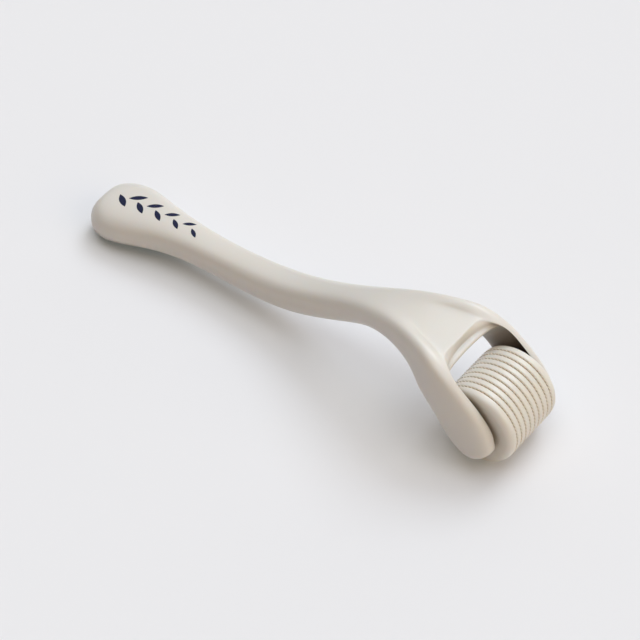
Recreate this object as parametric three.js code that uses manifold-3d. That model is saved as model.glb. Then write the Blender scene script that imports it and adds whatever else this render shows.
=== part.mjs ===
// Derma roller: a one-piece moulded fork handle carrying a free-turning drum.
// The drum is a stack on a plastic hub: nine etched steel needle discs, each with sixty points,
// held apart by eight spacer rings and clamped between two end caps. The hub turns on a steel axle
// whose ends sit in blind sockets in the fork's arms.
//
// Millimetres. +X runs from the handle's tail towards the drum, +Y along the drum's axle, +Z up.
// The origin is on the surface that the roller rests on, under the middle of its overall length.

import * as THREE from "three";
import { mergeVertices } from "three/addons/utils/BufferGeometryUtils.js";
import Module from "manifold-3d";

const wasm = await Module();
wasm.setup();

// ---------------------------------------------------------------- driving dimensions

const TIP_RADIUS = 10.7; // needle tips, which touch the surface
const NEEDLE_LENGTH = 0.2; // how far the points stand out of the rings
const POINT_DEPTH = 0.8; // from a point's tip to the valleys beside it
const DRUM_RADIUS = TIP_RADIUS - NEEDLE_LENGTH;
const DISC_COUNT = 9;
const POINTS_PER_DISC = 60;
const DISC_THICKNESS = 0.12;
const RING_WIDTH = 1.68;
const CAP_WIDTH = 2.54;
const CAP_RIM = 1.1; // how far the end caps' rims are rounded off
const CAP_RIM_MIDDLE = 0.33; // how far in the middle of that rounding lies
const CAP_FLOOR = 0.8; // thickness of an end cap outside the hub's end
const CAP_BORE_GAP = 0.4; // between the axle and an end cap's bore
const HUB_RADIUS = 7.0;
const HUB_CLEARANCE = 0.05; // between the hub and what is stacked on it
const AXLE_RADIUS = 1.5;
const AXLE_CLEARANCE = 0.1; // between the axle and the hub's bore
const SOCKET_CLEARANCE = 0.06; // between the axle and its sockets
const SOCKET_DEPTH = 2.4;
const SOCKET_MOUTH = 1; // how far the cutting bar for a socket starts in front of the arm
const AXLE_END_PLAY = 0.1; // at each end, between the axle and its socket's floor
const AXLE_CHAMFER = 0.3;
const ARM_GAP = 0.7; // between an end cap and the arm beside it
const BOSS_RADIUS = 3.2; // raised ring round each socket, which keeps the drum off the arm
const BOSS_HEIGHT = 0.4;
const BOSS_ROOT = 3; // how far the boss runs back through the arm's dished face into its wall

const PITCH = DISC_THICKNESS + RING_WIDTH;
const STACK_HALF = ((DISC_COUNT - 1) * PITCH + DISC_THICKNESS) / 2;
const DRUM_HALF = STACK_HALF + CAP_WIDTH;
const ARM_INNER = DRUM_HALF + ARM_GAP;
const AXLE_HALF = ARM_INNER + SOCKET_DEPTH - AXLE_END_PLAY;

const ROUND_SIDES = 30; // facets round the drum's plain rings
const SMALL_SIDES = 20; // facets round the axle and its sockets
const SMOOTHING_ROUNDS = 2;
const FLOOR_BLOCK = 400; // the block that trims the tail's underside flat

// ---------------------------------------------------------------- materials

const finish = (color, roughness, metalness) =>
  new THREE.MeshStandardMaterial({ color, roughness, metalness });
const HANDLE_PLASTIC = finish(0xd9d3ca, 0.32, 0);
const DRUM_PLASTIC = finish(0xd8d1c7, 0.4, 0);
const STEEL = finish(0xa9a7a2, 0.4, 1);

// ---------------------------------------------------------------- solids and booleans

const roundTo = (value, step) => Math.round(value / step) * step;

function solidOf(geometry) {
  const bare = geometry.clone();
  bare.deleteAttribute("normal");
  bare.deleteAttribute("uv");
  const merged = mergeVertices(bare, 1e-4);
  return new wasm.Manifold(
    new wasm.Mesh({
      numProp: 3,
      vertProperties: new Float32Array(merged.attributes.position.array),
      triVerts: new Uint32Array(merged.index.array),
    }),
  );
}

function geometryOf(solid) {
  const mesh = solid.getMesh();
  const geometry = new THREE.BufferGeometry();
  geometry.setAttribute("position", new THREE.BufferAttribute(mesh.vertProperties, 3));
  geometry.setIndex(new THREE.BufferAttribute(mesh.triVerts, 1));
  geometry.computeVertexNormals();
  return geometry;
}

// A solid turned about the Y axis from a closed outline of [radius, y] pairs.
function turned(outline, sides) {
  const points = [...outline, outline[0]].map(([r, y]) => new THREE.Vector2(r, y));
  return new THREE.LatheGeometry(points, sides);
}

// A plain round bar along Y, from y0 to y1.
function bar(radius, y0, y1, sides) {
  const points = [[0, y0], [radius, y0], [radius, y1], [0, y1]];
  return new THREE.LatheGeometry(points.map(([r, y]) => new THREE.Vector2(r, y)), sides);
}

// ---------------------------------------------------------------- smooth surfaces from a control cage

const edgeKey = (i, j) => (i < j ? `${i},${j}` : `${j},${i}`);

// One round of Catmull-Clark smoothing of a closed cage: { points: [[x, y, z]], faces: [[i, j, ...]],
// sharp: edge key to the rounds for which that edge stays a crease }.
function smoothed({ points, faces, sharp }) {
  const add = (a, b) => [a[0] + b[0], a[1] + b[1], a[2] + b[2]];
  const scale = (a, s) => [a[0] * s, a[1] * s, a[2] * s];
  const mean = (list) => scale(list.reduce(add), 1 / list.length);

  const facePoints = faces.map((f) => mean(f.map((i) => points[i])));
  const edges = new Map();
  faces.forEach((f, n) =>
    f.forEach((i, k) => {
      const j = f[(k + 1) % f.length];
      const name = edgeKey(i, j);
      if (!edges.has(name)) edges.set(name, { ends: [i, j], sides: [], crease: sharp.get(name) ?? 0 });
      edges.get(name).sides.push(n);
    }),
  );

  const around = points.map(() => ({ faces: [], middles: [], creased: [] }));
  faces.forEach((f, n) => f.forEach((i) => around[i].faces.push(facePoints[n])));
  for (const { ends, crease } of edges.values()) {
    const middle = mean(ends.map((i) => points[i]));
    ends.forEach((i) => {
      around[i].middles.push(middle);
      if (crease > 0) around[i].creased.push(middle);
    });
  }
  const moved = points.map((p, i) => {
    const { faces: near, middles, creased } = around[i];
    if (creased.length > 2) return p;
    if (creased.length === 2) return mean([p, mean(creased)]);
    const n = middles.length;
    return scale(add(add(mean(near), scale(mean(middles), 2)), scale(p, n - 3)), 1 / n);
  });

  const result = [...moved, ...facePoints];
  const stillSharp = new Map();
  for (const edge of edges.values()) {
    edge.index = result.length;
    const ends = edge.ends.map((i) => points[i]);
    const sides = edge.crease > 0 ? [] : edge.sides.map((n) => facePoints[n]);
    result.push(mean([...ends, ...sides]));
    if (edge.crease > 1) {
      edge.ends.forEach((i) => stillSharp.set(edgeKey(i, edge.index), edge.crease - 1));
    }
  }
  const quads = faces.flatMap((f, n) =>
    f.map((i, k) => {
      const next = f[(k + 1) % f.length];
      const before = f[(k + f.length - 1) % f.length];
      return [
        i,
        edges.get(edgeKey(i, next)).index,
        points.length + n,
        edges.get(edgeKey(before, i)).index,
      ];
    }),
  );
  return { points: result, faces: quads, sharp: stillSharp };
}

function cageGeometry(cage, rounds) {
  let mesh = cage;
  for (let i = 0; i < rounds; i++) mesh = smoothed(mesh);
  const geometry = new THREE.BufferGeometry();
  geometry.setAttribute(
    "position",
    new THREE.Float32BufferAttribute(mesh.points.flat(), 3),
  );
  geometry.setIndex(mesh.faces.flatMap(([a, b, c, d]) => [a, b, c, a, c, d]));
  return geometry;
}

// ---------------------------------------------------------------- handle

// The grip's sections, from the tail to the neck, about the drum's axis: where the middle of the
// section lies, the slope of the grip there in degrees, and the half width and half height of the
// control ring, which the smoothed surface lies a little inside.
const GRIP = [
  { x: -123.0, z: 4.3, slope: 0, wide: 5.0, high: 3.2 },
  { x: -120.6, z: 4.4, slope: 0, wide: 8.8, high: 4.5 },
  { x: -115.0, z: 4.6, slope: 1, wide: 11.0, high: 4.8 },
  { x: -106.0, z: 6.4, slope: 2, wide: 8.2, high: 4.2 },
  { x: -96.0, z: 7.6, slope: 1, wide: 5.7, high: 3.7 },
  { x: -84.0, z: 7.7, slope: 1, wide: 4.9, high: 3.6 },
  { x: -72.0, z: 8.2, slope: 6, wide: 5.2, high: 3.9 },
  { x: -60.0, z: 10.1, slope: 19, wide: 5.4, high: 4.0 },
  { x: -49.0, z: 14.4, slope: 24, wide: 5.1, high: 3.7 },
  { x: -40.0, z: 18.8, slope: 24, wide: 5.1, high: 3.5 },
];
// How far out and up each point above a grip ring's side is, as shares of its half width and height.
const RING_SHAPE = [[0.86, 0.68], [0.56, 1.0], [0.2, 1.09]];

// The fork's sections, where the ring grows into two arms with a dished web between them: each row
// gives y and z of the ring's points from the outer side over the top to the web, then below it.
// Points below the side lie back by the section's lean for each millimetre of drop.
const FORK = [
  {
    x: -32.0,
    lean: 0,
    side: [6.8, 22.6],
    above: [[6.1, 24.7], [4.0, 26.0], [1.5, 25.9]],
    below: [[5.9, 20.7], [3.8, 19.6], [1.4, 19.6]],
  },
  {
    x: -24.0,
    lean: 0.2,
    side: [8.8, 23.6],
    above: [[8.2, 26.6], [6.2, 28.0], [3.9, 27.0]],
    below: [[7.9, 21.3], [5.5, 20.6], [2.5, 21.6]],
  },
  {
    x: -17.2,
    lean: 0.5,
    side: [11.2, 22.9],
    above: [[10.6, 26.6], [8.2, 28.3], [5.7, 26.7]],
    below: [[9.9, 19.6], [8.3, 19.5], [5.4, 21.9]],
  },
  {
    x: -12.8,
    lean: 0.75,
    side: [13.1, 21.7],
    above: [[12.4, 26.2], [9.7, 27.9], [7.0, 26.4]],
    below: [[11.8, 17.7], [10.2, 17.5], [7.8, 22.3]],
  },
];
// The web's front, from the panel's lip down a step to a shelf and under it.
const WEB_FRONT = [
  { x: -11.3, z: 26.3, half: 7.1 },
  { x: -10.9, z: 24.3, half: 7.6 },
  { x: -8.9, z: 24.3, half: 7.8 },
  { x: -9.5, z: 22.5, half: 8.0 },
];

// The arms' sections from the web's front edge to the round end: centre and slope of the ring, its
// half height, where its inner and outer faces lie, and how deeply the inner face is dished.
const ARM = [
  { x: -9.6, z: 20.1, slope: -40, high: 6.3, inner: ARM_INNER + 0.2, outer: 14.2, dish: 1.5 },
  { x: -5.4, z: 16.7, slope: -46, high: 6.7, inner: ARM_INNER, outer: 14.8, dish: 2.4 },
  { x: -0.8, z: 11.7, slope: -45, high: 7.7, inner: ARM_INNER, outer: 15.2, dish: 2.0 },
  { x: 3.6, z: 7.2, slope: -43, high: 6.2, inner: ARM_INNER, outer: 15.2, dish: 0.8 },
  { x: 5.5, z: 7.3, slope: -40, high: 2.6, inner: ARM_INNER + 0.5, outer: 14.0, dish: 0 },
];
// How far up its section each point of an arm's inner face lies, as a share of the half height, and
// how far into the dish.
const ARM_INNER_FACE = [[0.9, 0], [0.74, 1], [0.6, 1], [0.36, 1], [-0.88, 0]];

// Where an arm's outer corners lie, as shares of its thickness and of its half height.
const ARM_CORNER = { across: 0.72, up: 0.84 };

// Fourteen points round a section: side, three above each half, side, three below each half.
function mirroredRing({ x, side, above, below, lean = 0 }) {
  const along = (z) => x + lean * Math.min(0, z - side[1]);
  const right = ([y, z]) => [along(z), y, z];
  const left = ([y, z]) => [along(z), -y, z];
  return [
    right(side), ...above.map(right),
    ...[...above].reverse().map(left), left(side),
    ...below.map(left), ...[...below].reverse().map(right),
  ];
}

function gripRing({ x, z, slope, wide, high }) {
  const tilt = THREE.MathUtils.degToRad(slope);
  const lean = ([px, py, pz]) => [px - (pz - z) * Math.sin(tilt), py, z + (pz - z) * Math.cos(tilt)];
  const at = (sign) => RING_SHAPE.map(([u, v]) => [u * wide, z + sign * v * high]);
  return mirroredRing({ x, side: [wide, z], above: at(1), below: at(-1) }).map(lean);
}

// Eight points round an arm's section, on the +Y arm: outer side, outer top, five down the inner
// face, outer bottom.
function armRing({ x, z, slope, high, inner, outer, dish }) {
  const tilt = THREE.MathUtils.degToRad(slope);
  const point = (y, v) => [x - v * high * Math.sin(tilt), y, z + v * high * Math.cos(tilt)];
  const corner = inner + (outer - inner) * ARM_CORNER.across;
  return [
    point(outer, 0), point(corner, ARM_CORNER.up),
    ...ARM_INNER_FACE.map(([up, share]) => point(inner + share * dish, up)),
    point(corner, -ARM_CORNER.up),
  ];
}

function handleCage() {
  const points = [];
  const faces = [];
  const put = (ring) => ring.map((p) => points.push(p) - 1);
  const band = (a, b) =>
    a.forEach((_, i) => {
      const j = (i + 1) % a.length;
      faces.push([a[i], a[j], b[j], b[i]]);
    });

  // Grip and fork rings, joined one to the next.
  const rings = [...GRIP.map(gripRing), ...FORK.map(mirroredRing)].map(put);
  rings.slice(1).forEach((ring, i) => band(rings[i], ring));

  // The tail's end: a strip of quads between the ring's upper and lower halves.
  const t = rings[0];
  faces.push([t[0], t[13], t[1]], [t[7], t[6], t[8]]);
  for (let i = 1; i < 6; i++) faces.push([t[i], t[14 - i], t[13 - i], t[i + 1]]);

  // The web's front, and the two arms' first rings beside it.
  const last = rings[rings.length - 1];
  const plus = put(armRing(ARM[0]));
  const minus = put(armRing(ARM[0]).map(([x, y, z]) => [x, -y, z]));
  const web = WEB_FRONT.map(({ x, z, half }) => put([[x, half, z], [x, -half, z]]));
  const underside = web[web.length - 1];
  const front = [
    plus[0], plus[1], plus[2], ...web[0], minus[2], minus[1], minus[0],
    minus[7], minus[6], underside[1], underside[0], plus[6], plus[7],
  ];
  band(last, front);
  const columns = [plus.slice(2, 6), web.map((w) => w[0]), web.map((w) => w[1]), minus.slice(2, 6)];
  for (let row = 0; row < web.length - 1; row++) {
    for (let col = 0; col < columns.length - 1; col++) {
      const [a, b] = [columns[col], columns[col + 1]];
      faces.push([a[row], b[row], b[row + 1], a[row + 1]]);
    }
  }

  faces.push([plus[5], underside[0], plus[6]], [minus[6], underside[1], minus[5]]);

  // Each arm, then its rounded end.
  const innerTops = [];
  for (const [first, sign] of [[plus, 1], [minus, -1]]) {
    let ring = first;
    const innerTop = [ring[2]];
    const flip = (f) => (sign > 0 ? f : [...f].reverse());
    for (const section of ARM.slice(1)) {
      const next = put(armRing(section).map(([px, py, pz]) => [px, py * sign, pz]));
      ring.forEach((_, i) => {
        const j = (i + 1) % ring.length;
        faces.push(flip([ring[i], ring[j], next[j], next[i]]));
      });
      ring = next;
      innerTop.push(ring[2]);
    }
    innerTops.push(innerTop.slice(0, -1));
    const [side, top, in1, in2, in3, in4, in5, bottom] = ring;
    for (const end of [[side, top, in1, in2], [side, in2, in3, in4], [side, in4, in5, bottom]]) {
      faces.push(flip(end));
    }
  }

  // Lines that stay crisp through both rounds: the panel's lip and long sides, the step's foot and
  // the arms' inner top edges.
  const sharp = new Map();
  const crisp = (chain) =>
    chain.slice(1).forEach((j, i) => sharp.set(edgeKey(chain[i], j), SMOOTHING_ROUNDS));
  crisp([plus[2], ...web[0], minus[2]]);
  crisp(web[1]);
  for (const side of [0, 1]) {
    crisp([...rings.slice(-3).map((ring) => ring[3 + side]), web[0][side]]);
    crisp(innerTops[side]);
  }
  return { points, faces, sharp };
}

function handleGeometry() {
  const cage = handleCage();
  let handle = solidOf(cageGeometry(cage, SMOOTHING_ROUNDS));
  if (handle.volume() < 0) throw new Error("the cage is inside out");
  for (const side of [1, -1]) {
    const along = (a, b) => (side > 0 ? [a, b] : [-b, -a]);
    const boss = bar(BOSS_RADIUS, ...along(ARM_INNER - BOSS_HEIGHT, ARM_INNER + BOSS_ROOT), SMALL_SIDES);
    const socket = bar(
      AXLE_RADIUS + SOCKET_CLEARANCE,
      ...along(ARM_INNER - SOCKET_MOUTH, ARM_INNER + SOCKET_DEPTH),
      SMALL_SIDES,
    );
    boss.translate(0, 0, TIP_RADIUS);
    socket.translate(0, 0, TIP_RADIUS);
    handle = handle.add(solidOf(boss)).subtract(solidOf(socket));
  }
  const below = new THREE.BoxGeometry(FLOOR_BLOCK, FLOOR_BLOCK, FLOOR_BLOCK);
  below.translate(0, 0, -FLOOR_BLOCK / 2);
  return geometryOf(handle.subtract(solidOf(below)));
}

// ---------------------------------------------------------------- drum

const boreRadius = HUB_RADIUS + HUB_CLEARANCE;

function needleDisc() {
  const shape = new THREE.Shape();
  const rootRadius = TIP_RADIUS - POINT_DEPTH;
  for (let i = 0; i < 2 * POINTS_PER_DISC; i++) {
    const angle = (i * Math.PI) / POINTS_PER_DISC;
    const r = i % 2 ? rootRadius : TIP_RADIUS;
    shape[i ? "lineTo" : "moveTo"](r * Math.cos(angle), r * Math.sin(angle));
  }
  const bore = new THREE.Path();
  bore.absarc(0, 0, boreRadius, 0, 2 * Math.PI, true);
  shape.holes.push(bore);
  const disc = new THREE.ExtrudeGeometry(shape, {
    depth: DISC_THICKNESS,
    bevelEnabled: false,
    curveSegments: ROUND_SIDES / 2,
  });
  disc.translate(0, 0, -DISC_THICKNESS / 2);
  return disc.rotateX(Math.PI / 2);
}

const spacerRing = () =>
  turned(
    [
      [boreRadius, -RING_WIDTH / 2], [DRUM_RADIUS, -RING_WIDTH / 2],
      [DRUM_RADIUS, RING_WIDTH / 2], [boreRadius, RING_WIDTH / 2],
    ],
    ROUND_SIDES,
  );

// An end cap closes the stack with a rounded rim and carries the hub's end in a recess.
function endCap(side) {
  const inner = STACK_HALF;
  const outer = DRUM_HALF;
  const capBore = AXLE_RADIUS + CAP_BORE_GAP;
  const outline = [
    [capBore, outer - CAP_FLOOR],
    [boreRadius, outer - CAP_FLOOR],
    [boreRadius, inner],
    [DRUM_RADIUS, inner],
    [DRUM_RADIUS, outer - CAP_RIM],
    [DRUM_RADIUS - CAP_RIM_MIDDLE, outer - CAP_RIM_MIDDLE],
    [DRUM_RADIUS - CAP_RIM, outer],
    [capBore, outer],
  ];
  const oriented = side > 0 ? outline : [...outline].reverse();
  return turned(oriented.map(([r, y]) => [r, side * y]), ROUND_SIDES);
}

// The hub: a sleeve that everything on the drum is stacked on, with a running bore.
function hub() {
  const end = DRUM_HALF - CAP_FLOOR - HUB_CLEARANCE;
  const bore = AXLE_RADIUS + AXLE_CLEARANCE;
  return turned([[bore, -end], [HUB_RADIUS, -end], [HUB_RADIUS, end], [bore, end]], ROUND_SIDES);
}

function axle() {
  const tip = AXLE_RADIUS - AXLE_CHAMFER;
  const shoulder = AXLE_HALF - AXLE_CHAMFER;
  const outline = [
    [0, -AXLE_HALF], [tip, -AXLE_HALF], [AXLE_RADIUS, -shoulder],
    [AXLE_RADIUS, shoulder], [tip, AXLE_HALF], [0, AXLE_HALF],
  ];
  return new THREE.LatheGeometry(outline.map(([r, y]) => new THREE.Vector2(r, y)), SMALL_SIDES);
}

// ---------------------------------------------------------------- assembly

const roller = new THREE.Group();
const handle = handleGeometry();
handle.computeBoundingBox();
const drumX = roundTo(-(handle.boundingBox.min.x + TIP_RADIUS) / 2, 0.01);

function place(name, geometry, material, y = 0, z = TIP_RADIUS) {
  const mesh = new THREE.Mesh(geometry, material);
  mesh.name = name;
  mesh.position.set(drumX, y, z);
  roller.add(mesh);
}

place("handle", handle, HANDLE_PLASTIC, 0, 0);
place("axle", axle(), STEEL);
place("drum_hub", hub(), DRUM_PLASTIC);
place("end_cap_left", endCap(1), DRUM_PLASTIC);
place("end_cap_right", endCap(-1), DRUM_PLASTIC);
for (let i = 0; i < DISC_COUNT; i++) {
  const y = (i - (DISC_COUNT - 1) / 2) * PITCH;
  place(`needle_disc_${i + 1}`, needleDisc(), STEEL, y);
  if (i < DISC_COUNT - 1) place(`spacer_ring_${i + 1}`, spacerRing(), DRUM_PLASTIC, y + PITCH / 2);
}

export default roller;
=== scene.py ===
"""Looks for the derma roller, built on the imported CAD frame. Metres, +Z up, +X towards the drum."""

import math

import bpy
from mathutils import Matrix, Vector
from mathutils.bvhtree import BVHTree


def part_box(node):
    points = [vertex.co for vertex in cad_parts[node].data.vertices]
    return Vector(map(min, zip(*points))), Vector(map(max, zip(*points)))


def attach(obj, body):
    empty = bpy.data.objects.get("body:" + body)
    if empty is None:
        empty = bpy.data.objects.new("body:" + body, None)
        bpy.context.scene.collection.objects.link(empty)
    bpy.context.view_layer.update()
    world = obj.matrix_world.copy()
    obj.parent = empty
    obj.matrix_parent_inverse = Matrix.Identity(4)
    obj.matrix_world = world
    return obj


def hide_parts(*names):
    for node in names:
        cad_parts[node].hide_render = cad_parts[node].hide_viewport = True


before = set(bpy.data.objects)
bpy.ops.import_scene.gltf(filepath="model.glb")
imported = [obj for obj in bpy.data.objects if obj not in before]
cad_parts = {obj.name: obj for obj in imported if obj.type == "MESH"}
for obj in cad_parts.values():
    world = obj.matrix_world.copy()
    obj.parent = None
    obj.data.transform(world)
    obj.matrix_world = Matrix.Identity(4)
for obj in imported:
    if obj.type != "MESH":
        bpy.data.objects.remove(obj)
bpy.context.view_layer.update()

MM = 0.001

# ---------------------------------------------------------------- where the CAD puts things

axle_low, axle_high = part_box("axle")
DRUM_X = (axle_low.x + axle_high.x) / 2
DRUM_Z = (axle_low.z + axle_high.z) / 2
AXLE_RADIUS = (axle_high.z - axle_low.z) / 2
hub_low, hub_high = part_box("drum_hub")
HUB_RADIUS = (hub_high.z - hub_low.z) / 2
cap_low, cap_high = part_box("end_cap_left")
DRUM_RADIUS = (cap_high.z - cap_low.z) / 2

# ---------------------------------------------------------------- helpers


def new_object(name, mesh):
    made = bpy.data.objects.new(name, mesh)
    bpy.context.scene.collection.objects.link(made)
    return made


def shade_smooth(mesh):
    mesh.polygons.foreach_set("use_smooth", [True] * len(mesh.polygons))


def mesh_from(name, points, faces):
    mesh = bpy.data.meshes.new(name)
    mesh.from_pydata(points, [], faces)
    mesh.update()
    return mesh


def baked(made):
    """A plain mesh of the object with its modifiers applied."""
    bpy.context.view_layer.update()
    evaluated = made.evaluated_get(bpy.context.evaluated_depsgraph_get())
    mesh = bpy.data.meshes.new_from_object(evaluated)
    bpy.data.objects.remove(made)
    return mesh


# ---------------------------------------------------------------- handle

ARM_INNER = 10.5  # the arms' inner faces, from the middle, in millimetres
SMOOTHING = 4  # levels of subdivision on the handle
ROUND_CREASE = 0.32  # a line that is still a soft edge after one level
CRISP_CREASE = 0.45  # and one that is still an edge after two

# The handle's control cage, in millimetres from the drum's axle: see the CAD part for what each is.
GRIP = [
    dict(x=-123.0, z=4.3, slope=0, wide=5.0, high=3.2),
    dict(x=-120.6, z=4.4, slope=0, wide=8.8, high=4.5),
    dict(x=-115.0, z=4.6, slope=1, wide=11.0, high=4.8),
    dict(x=-106.0, z=6.4, slope=2, wide=8.2, high=4.2),
    dict(x=-96.0, z=7.6, slope=1, wide=5.7, high=3.7),
    dict(x=-84.0, z=7.7, slope=1, wide=4.9, high=3.6),
    dict(x=-72.0, z=8.2, slope=6, wide=5.2, high=3.9),
    dict(x=-60.0, z=10.1, slope=19, wide=5.4, high=4.0),
    dict(x=-49.0, z=14.4, slope=24, wide=5.1, high=3.7),
    dict(x=-40.0, z=18.8, slope=24, wide=5.1, high=3.5),
]
RING_SHAPE = [(0.86, 0.68), (0.56, 1.0), (0.2, 1.09)]
FORK = [
    dict(x=-32.0, lean=0, side=(6.8, 22.6),
         above=[(6.1, 24.7), (4.0, 26.0), (1.5, 25.9)],
         below=[(5.9, 20.7), (3.8, 19.6), (1.4, 19.6)]),
    dict(x=-24.0, lean=0.2, side=(8.8, 23.6),
         above=[(8.2, 26.6), (6.2, 28.0), (3.9, 27.0)],
         below=[(7.9, 21.3), (5.5, 20.6), (2.5, 21.6)]),
    dict(x=-17.2, lean=0.5, side=(11.2, 22.9),
         above=[(10.6, 26.6), (8.2, 28.3), (5.7, 26.7)],
         below=[(9.9, 19.6), (8.3, 19.5), (5.4, 21.9)]),
    dict(x=-12.8, lean=0.75, side=(13.1, 21.7),
         above=[(12.4, 26.2), (9.7, 27.9), (7.0, 26.4)],
         below=[(11.8, 17.7), (10.2, 17.5), (7.8, 22.3)]),
]
WEB_FRONT = [
    dict(x=-11.3, z=26.3, half=7.1),
    dict(x=-10.9, z=24.3, half=7.6),
    dict(x=-8.9, z=24.3, half=7.8),
    dict(x=-9.5, z=22.5, half=8.0),
]
ARM = [
    dict(x=-9.6, z=20.1, slope=-40, high=6.3, inner=ARM_INNER + 0.2, outer=14.2, dish=1.5),
    dict(x=-5.4, z=16.7, slope=-46, high=6.7, inner=ARM_INNER, outer=14.8, dish=2.4),
    dict(x=-0.8, z=11.7, slope=-45, high=7.7, inner=ARM_INNER, outer=15.2, dish=2.0),
    dict(x=3.6, z=7.2, slope=-43, high=6.2, inner=ARM_INNER, outer=15.2, dish=0.8),
    dict(x=5.5, z=7.3, slope=-40, high=2.6, inner=ARM_INNER + 0.5, outer=14.0, dish=0),
]
# How far up its section each point of an arm's inner face lies, and how far into the dish.
ARM_INNER_FACE = [(0.9, 0), (0.74, 1), (0.6, 1), (0.36, 1), (-0.88, 0)]
# Where an arm's outer corners lie, as shares of its thickness and of its half height.
ARM_CORNER = dict(across=0.72, up=0.84)


def mirrored_ring(x, side, above, below, lean=0):
    """Fourteen points round a section: side, three above each half, side, three below each half."""
    def at(p, sign):
        return (x + lean * min(0, p[1] - side[1]), sign * p[0], p[1])

    return (
        [at(side, 1)] + [at(p, 1) for p in above] + [at(p, -1) for p in reversed(above)]
        + [at(side, -1)] + [at(p, -1) for p in below] + [at(p, 1) for p in reversed(below)]
    )


def grip_ring(x, z, slope, wide, high):
    tilt = math.radians(slope)
    above = [(u * wide, z + v * high) for u, v in RING_SHAPE]
    below = [(u * wide, z - v * high) for u, v in RING_SHAPE]
    ring = mirrored_ring(x, (wide, z), above, below)
    return [
        (px - (pz - z) * math.sin(tilt), py, z + (pz - z) * math.cos(tilt))
        for px, py, pz in ring
    ]


def arm_ring(x, z, slope, high, inner, outer, dish, side=1):
    """Eight points round an arm's section: outer side, outer top, five down inside, outer bottom."""
    tilt = math.radians(slope)
    corner = inner + (outer - inner) * ARM_CORNER["across"]

    def point(y, up):
        return (x - up * high * math.sin(tilt), side * y, z + up * high * math.cos(tilt))

    return (
        [point(outer, 0), point(corner, ARM_CORNER["up"])]
        + [point(inner + share * dish, up) for up, share in ARM_INNER_FACE]
        + [point(corner, -ARM_CORNER["up"])]
    )


def handle_cage():
    """The handle's control cage: points, faces, and the crease of each line that has one."""
    points = []
    faces = []

    def put(ring):
        start = len(points)
        points.extend(ring)
        return list(range(start, len(points)))

    def band(a, b, order=1):
        for i in range(len(a)):
            j = (i + 1) % len(a)
            faces.append((a[i], a[j], b[j], b[i])[::order])

    rings = [put(grip_ring(**g)) for g in GRIP] + [put(mirrored_ring(**f)) for f in FORK]
    for a, b in zip(rings, rings[1:]):
        band(a, b)

    # The tail's end: a strip of quads between the ring's upper and lower halves.
    tail = rings[0]
    faces.append((tail[0], tail[13], tail[1]))
    faces.append((tail[7], tail[6], tail[8]))
    for i in range(1, 6):
        faces.append((tail[i], tail[14 - i], tail[13 - i], tail[i + 1]))

    # The web's front, and the two arms' first rings beside it.
    plus = put(arm_ring(**ARM[0]))
    minus = put(arm_ring(**ARM[0], side=-1))
    web = [put([(w["x"], w["half"], w["z"]), (w["x"], -w["half"], w["z"])]) for w in WEB_FRONT]
    front = [
        plus[0], plus[1], plus[2], *web[0], minus[2], minus[1], minus[0],
        minus[7], minus[6], web[-1][1], web[-1][0], plus[6], plus[7],
    ]
    band(rings[-1], front)
    columns = [plus[2:6], [w[0] for w in web], [w[1] for w in web], minus[2:6]]
    for a, b in zip(columns, columns[1:]):
        for row in range(len(web) - 1):
            faces.append((a[row], b[row], b[row + 1], a[row + 1]))

    faces.append((plus[5], web[-1][0], plus[6]))
    faces.append((minus[6], web[-1][1], minus[5]))

    # Each arm, then its rounded end.
    inner_tops = []
    for first, side in ((plus, 1), (minus, -1)):
        ring = first
        inner_top = [ring[2]]
        for section in ARM[1:]:
            following = put(arm_ring(**section, side=side))
            band(ring, following, side)
            ring = following
            inner_top.append(ring[2])
        inner_tops.append(inner_top[:-1])
        outside, top, a, b, c, d, e, bottom = ring
        for end in ((outside, top, a, b), (outside, b, c, d), (outside, d, e, bottom)):
            faces.append(end[::side])

    # The panel's lip and long sides, the step's foot and the arms' inner top edges stay crisp.
    creases = {}

    def crisp(chain, crease):
        for pair in zip(chain, chain[1:]):
            creases[tuple(sorted(pair))] = crease

    crisp([plus[2], *web[0], minus[2]], CRISP_CREASE)
    crisp(web[1], CRISP_CREASE)
    for side in (0, 1):
        crisp([ring[3 + side] for ring in rings[-3:]] + [web[0][side]], CRISP_CREASE)
        crisp(inner_tops[side], CRISP_CREASE)
    return points, faces, creases


def make_handle():
    points, faces, creases = handle_cage()
    mesh = mesh_from("handle_cage", [(x * MM + DRUM_X, y * MM, z * MM) for x, y, z in points], faces)
    cage = new_object("handle_cage", mesh)
    crease = mesh.attributes.new("crease_edge", "FLOAT", "EDGE")
    for edge in mesh.edges:
        crease.data[edge.index].value = creases.get(tuple(sorted(edge.vertices)), 0)
    smoother = cage.modifiers.new("smooth", "SUBSURF")
    smoother.levels = SMOOTHING
    smoother.render_levels = SMOOTHING
    surface = baked(cage)
    for v in surface.vertices:
        v.co.z = max(v.co.z, 0)
    shade_smooth(surface)
    handle = new_object("handle_moulding", surface)
    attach(handle, "grip")
    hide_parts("handle")
    return handle


# ---------------------------------------------------------------- turned pieces

TURNED_SIDES = 128
FILLET_STEPS = 6


def filleted(corners):
    """A closed outline of [radius, y] points from square corners (radius, y, fillet)."""
    outline = []
    count = len(corners)
    for i, (r, y, fillet) in enumerate(corners):
        here = Vector((r, y))
        back = (Vector(corners[i - 1][:2]) - here).normalized()
        ahead = (Vector(corners[(i + 1) % count][:2]) - here).normalized()
        for step in range(FILLET_STEPS + 1):
            turn = math.pi / 2 * step / FILLET_STEPS
            outline.append(
                here + fillet * (back * (1 - math.sin(turn)) + ahead * (1 - math.cos(turn)))
            )
    return outline


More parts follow.
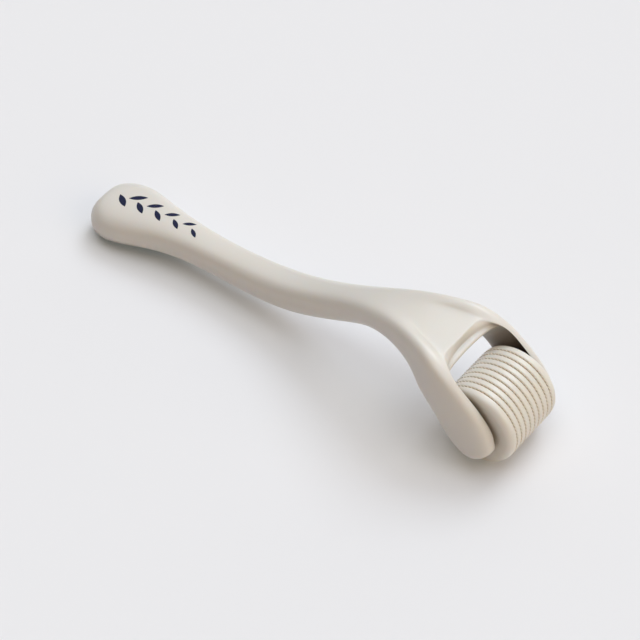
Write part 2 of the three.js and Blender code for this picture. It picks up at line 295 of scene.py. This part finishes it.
def turned(name, outline, body):
    """A solid turned about the axle's line from a closed outline of (radius, y)."""
    points = []
    faces = []
    count = len(outline)
    for i in range(TURNED_SIDES):
        angle = 2 * math.pi * i / TURNED_SIDES
        across, up = math.cos(angle), math.sin(angle)
        points += [(DRUM_X + r * across, y, DRUM_Z + r * up) for r, y in outline]
        start, following = i * count, (i + 1) % TURNED_SIDES * count
        for a in range(count):
            b = (a + 1) % count
            faces.append((start + a, start + b, following + b, following + a))
    mesh = mesh_from(name, points, faces)
    shade_smooth(mesh)
    piece = new_object(name, mesh)
    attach(piece, body)
    return piece


RING_FILLET = 0.45 * MM
RIM_FILLET = 1.7 * MM
SMALL_FILLET = 0.05 * MM
CAP_BORE_GAP = 0.4 * MM  # between the axle and an end cap's bore

BOSS_RADIUS = 3.2 * MM
BOSS_FACE = (ARM_INNER - 0.4) * MM  # how far the raised face is from the middle
BOSS_FOOT = (ARM_INNER + 3) * MM  # and the hidden foot, inside the arm's wall
BOSS_FILLET = 0.15 * MM
SOCKET_CLEARANCE = 0.06 * MM  # between the axle and its sockets
SOCKET_FILLET = 0.1 * MM


def make_spacer_ring(node, name):
    low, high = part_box(node)
    bore = HUB_RADIUS + SMALL_FILLET
    piece = turned(name, filleted([
        (bore, low.y, SMALL_FILLET), (DRUM_RADIUS, low.y, RING_FILLET),
        (DRUM_RADIUS, high.y, RING_FILLET), (bore, high.y, SMALL_FILLET),
    ]), "drum")
    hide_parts(node)
    return piece


def make_end_cap(node, name):
    """A flat-faced cap with a rounded rim, recessed on the inside for the hub's end."""
    low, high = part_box(node)
    out, into = (high.y, low.y) if high.y > 0 else (low.y, high.y)
    recess = hub_high.y if high.y > 0 else hub_low.y
    bore = AXLE_RADIUS + CAP_BORE_GAP
    seat = HUB_RADIUS + SMALL_FILLET
    corners = [
        (bore, recess, SMALL_FILLET), (seat, recess, SMALL_FILLET), (seat, into, SMALL_FILLET),
        (DRUM_RADIUS, into, RING_FILLET), (DRUM_RADIUS, out, RIM_FILLET), (bore, out, SMALL_FILLET),
    ]
    piece = turned(name, filleted(corners), "drum")
    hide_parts(node)
    return piece


def make_boss(name, side):
    """The raised ring on an arm's inner face that keeps the drum's cap off the arm."""
    foot = side * BOSS_FOOT
    face = side * BOSS_FACE
    bore = AXLE_RADIUS + SOCKET_CLEARANCE
    corners = [
        (bore, foot, 0), (BOSS_RADIUS, foot, 0),
        (BOSS_RADIUS, face, BOSS_FILLET), (bore, face, SOCKET_FILLET),
    ]
    return turned(name, filleted(corners), "grip")


# ---------------------------------------------------------------- printed ornament

PRINT_HEIGHT = 0.012 * MM  # the ink's thickness
PRINT_RINGS = 4
PRINT_SIDES = 40
# A leaf sprig along the tail: leaves either side of a line, the largest first, each turned outwards.
SPRIG_START = -115.5 * MM  # the first leaf, from the axle
SPRIG_STEP = 2.9 * MM
SPRIG_OFFSET = 0.6 * MM  # the line lies this far from the middle
SPRIG_LEAVES = 9
SPRIG_TAPER = 0.35  # how much smaller the last leaf is than the first
LEAF_LENGTH = 5.2 * MM
LEAF_WIDTH = 1.7 * MM
LEAF_OUT = 1.5 * MM  # from the line to a leaf's middle
LEAF_TURN = math.radians(36)
ABOVE = 1  # a height well over the handle, from which the ink is laid


def printed_leaf(surface, centre, length, width, heading):
    """Points and faces of one leaf of ink, laid on the surface below it."""
    points = []
    faces = []
    for ring in range(PRINT_RINGS + 1):
        share = ring / PRINT_RINGS
        for side in range(PRINT_SIDES):
            angle = 2 * math.pi * side / PRINT_SIDES
            along = math.cos(angle) * length / 2 * share
            across = math.sin(angle) * abs(math.sin(angle)) * width / 2 * share
            x = centre[0] + along * math.cos(heading) - across * math.sin(heading)
            y = centre[1] + along * math.sin(heading) + across * math.cos(heading)
            spot, normal, _, _ = surface.ray_cast(Vector((x, y, ABOVE)), Vector((0, 0, -1)))
            points.append(spot + normal * PRINT_HEIGHT)
    for ring in range(PRINT_RINGS):
        for side in range(PRINT_SIDES):
            a, b = ring * PRINT_SIDES + side, ring * PRINT_SIDES + (side + 1) % PRINT_SIDES
            faces.append((a, a + PRINT_SIDES, b + PRINT_SIDES, b))
    return points, faces


def make_ornament(handle):
    surface = BVHTree.FromPolygons(
        [v.co for v in handle.data.vertices], [p.vertices for p in handle.data.polygons]
    )
    points = []
    faces = []
    for i in range(SPRIG_LEAVES):
        size = 1 - SPRIG_TAPER * i / (SPRIG_LEAVES - 1)
        side = 1 if i % 2 else -1
        centre = (DRUM_X + SPRIG_START + SPRIG_STEP * i, side * LEAF_OUT * size + SPRIG_OFFSET)
        leaf, panes = printed_leaf(
            surface, centre, LEAF_LENGTH * size, LEAF_WIDTH * size, side * LEAF_TURN
        )
        faces += [tuple(k + len(points) for k in pane) for pane in panes]
        points += leaf
    mesh = mesh_from("printed_sprig", points, faces)
    shade_smooth(mesh)
    piece = new_object("printed_sprig", mesh)
    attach(piece, "grip")
    return piece


# ---------------------------------------------------------------- materials

# Scales of the noise patterns: roughly how many features there are to a metre.
DRIFT_SCALE = 45  # slow change of colour and gloss across a moulding
SKIN_SCALE = 2600  # fine texture of moulded plastic
ETCH_SCALE = 3000
INK_SCALE = 1800
FIBRE_SCALE = 900
SKIN_DEPTH = 0.03 * MM
GLOSS_DRIFT = 0.05  # how far roughness wanders either side of its middle

PAINTED_SHADE_REACH = 5 * MM  # painted shade darkens gaps and corners narrower than this
PAINTED_SHADE_SAMPLES = 8
DEEPEST = 0.25  # openness at which the painted shade is full


def new_material(name):
    made = bpy.data.materials.new(name)
    made.use_nodes = True
    return made, made.node_tree.nodes, made.node_tree.links


def noise(nodes, links, place, scale, detail):
    made = nodes.new("ShaderNodeTexNoise")
    made.inputs["Scale"].default_value = scale
    made.inputs["Detail"].default_value = detail
    links.new(place.outputs["Object"], made.inputs["Vector"])
    return made


def mixed_colour(nodes, links, factor, a, b):
    mix = nodes.new("ShaderNodeMix")
    mix.data_type = "RGBA"
    mix.inputs["A"].default_value = (*a, 1)
    mix.inputs["B"].default_value = (*b, 1)
    links.new(factor, mix.inputs["Factor"])
    return mix.outputs["Result"]


def ranged(nodes, links, value, low, high):
    made = nodes.new("ShaderNodeMapRange")
    made.inputs["To Min"].default_value = low
    made.inputs["To Max"].default_value = high
    links.new(value, made.inputs["Value"])
    return made.outputs["Result"]


def bumped(nodes, links, height, strength, distance):
    bump = nodes.new("ShaderNodeBump")
    bump.inputs["Strength"].default_value = strength
    bump.inputs["Distance"].default_value = distance
    links.new(height, bump.inputs["Height"])
    return bump.outputs["Normal"]


def with_painted_shade(nodes, links, tone, painted_shade_tone):
    """The tone with painted shade: darkened by an occlusion node in gaps and corners narrower than
    its reach.
    """
    hollow = nodes.new("ShaderNodeAmbientOcclusion")
    hollow.inputs["Distance"].default_value = PAINTED_SHADE_REACH
    hollow.samples = PAINTED_SHADE_SAMPLES
    openness = nodes.new("ShaderNodeMapRange")
    openness.inputs["From Min"].default_value = DEEPEST
    links.new(hollow.outputs["AO"], openness.inputs["Value"])
    shaded = mixed_colour(nodes, links, openness.outputs["Result"], painted_shade_tone, (1, 1, 1))
    mix = nodes.new("ShaderNodeMix")
    mix.data_type = "RGBA"
    mix.blend_type = "MULTIPLY"
    mix.inputs["Factor"].default_value = 1
    links.new(tone, mix.inputs["A"])
    links.new(shaded, mix.inputs["B"])
    return mix.outputs["Result"]


def plastic(name, colour, shade, roughness, painted_shade_tone):
    """Moulded plastic: a faint drift of colour and gloss, a fine skin texture, and painted shade in
    gaps and corners.
    """
    made, nodes, links = new_material(name)
    shader = nodes["Principled BSDF"]
    place = nodes.new("ShaderNodeTexCoord")
    drift = noise(nodes, links, place, DRIFT_SCALE, detail=3)
    tone = mixed_colour(nodes, links, drift.outputs["Fac"], colour, shade)
    # the base colour carries painted shade in gaps and corners
    links.new(with_painted_shade(nodes, links, tone, painted_shade_tone), shader.inputs["Base Color"])
    gloss = ranged(
        nodes, links, drift.outputs["Fac"], low=roughness - GLOSS_DRIFT, high=roughness + GLOSS_DRIFT
    )
    links.new(gloss, shader.inputs["Roughness"])
    skin = noise(nodes, links, place, SKIN_SCALE, detail=2)
    bumps = bumped(nodes, links, skin.outputs["Fac"], strength=0.12, distance=SKIN_DEPTH)
    links.new(bumps, shader.inputs["Normal"])
    shader.inputs["Specular IOR Level"].default_value = 0.7
    shader.inputs["Subsurface Weight"].default_value = 0.3
    shader.inputs["Subsurface Radius"].default_value = (1.0, 0.6, 0.35)
    shader.inputs["Subsurface Scale"].default_value = 0.8 * MM
    return made


def etched_steel():
    """Stainless sheet and pin: a grain of light and dark from the etching, half dull."""
    made, nodes, links = new_material("etched_steel")
    shader = nodes["Principled BSDF"]
    shader.inputs["Metallic"].default_value = 0.3
    place = nodes.new("ShaderNodeTexCoord")
    grain = noise(nodes, links, place, ETCH_SCALE, detail=4)
    tone = mixed_colour(nodes, links, grain.outputs["Fac"], (0.74, 0.66, 0.56), (0.86, 0.78, 0.68))
    links.new(tone, shader.inputs["Base Color"])
    gloss = ranged(nodes, links, grain.outputs["Fac"], low=0.35, high=0.6)
    links.new(gloss, shader.inputs["Roughness"])
    return made


def navy_ink():
    """Pad-printed ink: a little unevenness in its cover and gloss."""
    made, nodes, links = new_material("navy_ink")
    shader = nodes["Principled BSDF"]
    place = nodes.new("ShaderNodeTexCoord")
    cover = noise(nodes, links, place, INK_SCALE, detail=4)
    tone = mixed_colour(
        nodes, links, cover.outputs["Fac"], (0.006, 0.008, 0.035), (0.016, 0.02, 0.06)
    )
    links.new(tone, shader.inputs["Base Color"])
    gloss = ranged(nodes, links, cover.outputs["Fac"], low=0.35, high=0.5)
    links.new(gloss, shader.inputs["Roughness"])
    shader.inputs["Specular IOR Level"].default_value = 0.15
    return made


def floor_paper():
    """Matte studio paper with a fibre so fine that it reads as plain, and a painted glow that lifts
    the shadows cast on it.
    """
    made, nodes, links = new_material("floor_paper")
    shader = nodes["Principled BSDF"]
    place = nodes.new("ShaderNodeTexCoord")
    fibre = noise(nodes, links, place, FIBRE_SCALE, detail=3)
    tone = mixed_colour(
        nodes, links, fibre.outputs["Fac"], (0.735, 0.697, 0.711), (0.741, 0.703, 0.717)
    )
    links.new(tone, shader.inputs["Base Color"])
    shader.inputs["Roughness"].default_value = 0.95
    # the emission is painted light, a faint glow that lightens the floor's shadows; the paper's
    # colour is lowered to make up for it
    shader.inputs["Emission Color"].default_value = (0.075, 0.095, 0.098, 1)
    shader.inputs["Emission Strength"].default_value = 1
    shader.inputs["Specular IOR Level"].default_value = 0.1
    return made


def paint(thing, material):
    slots = thing.data.materials
    slots.clear()
    slots.append(material)


# ---------------------------------------------------------------- studio

FLOOR_HALF = 3.0  # half the floor's side, in metres

# Where the camera stands round what it looks at, which is given from the axle on the floor.
CAMERA = dict(azimuth=37.521, elevation=46.827, distance=0.567, lens=128.15)
CAMERA_TARGET = Vector((DRUM_X - 55.37 * MM, 3.71 * MM, 0.2 * MM))

# Broad soft suns, in degrees: cool above and behind, warm low on the right and weakly in front.
OVERHEAD = dict(azimuth=0, elevation=88, spread=50, strength=1.18, colour=(0.88, 0.965, 1.0))
BACK = dict(azimuth=180, elevation=50, spread=32, strength=1.28, colour=(0.815, 0.925, 1.0))
BACK_LEFT = dict(azimuth=240, elevation=45, spread=50, strength=0.40, colour=(1.0, 1.0, 1.0))
BACK_RIGHT = dict(azimuth=120, elevation=50, spread=50, strength=0.52, colour=(0.75, 0.8, 1.0))
LOW_BACK = dict(azimuth=190, elevation=18, spread=50, strength=0.5, colour=(1.0, 0.98, 0.9))
LOW_RIGHT = dict(azimuth=92, elevation=18, spread=60, strength=1.08, colour=(1.0, 0.82, 0.5))
FRONT = dict(azimuth=0, elevation=50, spread=50, strength=0.28, colour=(1.0, 0.6, 0.28))

GLOW = (0.02, 0.018, 0.015)  # light from all round
BACKDROP = (0.82, 0.82, 0.835)  # what is seen past the floor


def make_floor():
    half = FLOOR_HALF
    corners = [(-half, -half, 0), (half, -half, 0), (half, half, 0), (-half, half, 0)]
    mesh = mesh_from("studio_floor", corners, [(0, 1, 2, 3)])
    floor = new_object("studio_floor", mesh)
    paint(floor, floor_paper())


def aim(thing, target):
    thing.rotation_mode = "QUATERNION"
    thing.rotation_quaternion = (Vector(target) - thing.location).to_track_quat("-Z", "Y")


def direction(azimuth, elevation):
    """Unit vector towards a place at that azimuth and elevation, in degrees; azimuth 0 is -Y."""
    a, e = math.radians(azimuth), math.radians(elevation)
    return Vector((math.sin(a) * math.cos(e), -math.cos(a) * math.cos(e), math.sin(e)))


def make_light(name, azimuth, elevation, spread, strength, colour):
    data = bpy.data.lights.new(name, "SUN")
    data.energy = strength
    data.angle = math.radians(spread)
    data.color = colour
    light = bpy.data.objects.new(name, data)
    bpy.context.scene.collection.objects.link(light)
    light.location = direction(azimuth, elevation)
    aim(light, (0, 0, 0))


def make_air():
    """A pale backdrop to look at, which gives only a faint even glow to what the lights miss."""
    world = bpy.data.worlds.new("studio_air")
    bpy.context.scene.world = world
    world.use_nodes = True
    nodes, links = world.node_tree.nodes, world.node_tree.links
    seen = nodes.new("ShaderNodeLightPath").outputs["Is Camera Ray"]
    links.new(mixed_colour(nodes, links, seen, GLOW, BACKDROP), nodes["Background"].inputs["Color"])


def make_camera():
    data = bpy.data.cameras.new("camera")
    data.sensor_width = 36
    data.lens = CAMERA["lens"]
    data.clip_start = 0.01
    data.clip_end = 10
    camera = bpy.data.objects.new("camera", data)
    bpy.context.scene.collection.objects.link(camera)
    stand = direction(CAMERA["azimuth"], CAMERA["elevation"])
    camera.location = CAMERA_TARGET + stand * CAMERA["distance"]
    aim(camera, CAMERA_TARGET)
    bpy.context.scene.camera = camera


# ---------------------------------------------------------------- assembly

make_camera()
bpy.context.scene.view_settings.view_transform = "Standard"

# Both plastics get painted shade in gaps and corners: near-black brown on the handle, pale tan in the
# drum's grooves.
ivory = plastic(
    "ivory_handle", colour=(0.685, 0.635, 0.58), shade=(0.705, 0.655, 0.605),
    roughness=0.35, painted_shade_tone=(0.04, 0.02, 0.01),
)
drum_ivory = plastic(
    "ivory_drum", colour=(0.715, 0.67, 0.605), shade=(0.735, 0.69, 0.63),
    roughness=0.38, painted_shade_tone=(0.82, 0.71, 0.58),
)
steel = etched_steel()

handle = make_handle()
paint(handle, ivory)
for name, side in (("boss_left", 1), ("boss_right", -1)):
    paint(make_boss(name, side), ivory)
paint(make_ornament(handle), navy_ink())
for end in ("left", "right"):
    paint(make_end_cap("end_cap_" + end, "cap_moulding_" + end), drum_ivory)
for node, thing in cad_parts.items():
    if node.startswith("spacer_ring"):
        paint(make_spacer_ring(node, node.replace("spacer_ring", "ring_moulding")), drum_ivory)
    elif node.startswith("needle_disc") or node == "axle":
        paint(thing, steel)
    elif node == "drum_hub":
        paint(thing, drum_ivory)
make_floor()
make_light("overhead", **OVERHEAD)
make_light("back", **BACK)
make_light("back_left", **BACK_LEFT)
make_light("back_right", **BACK_RIGHT)
make_light("low_back", **LOW_BACK)
make_light("low_right", **LOW_RIGHT)
make_light("front", **FRONT)
make_air()
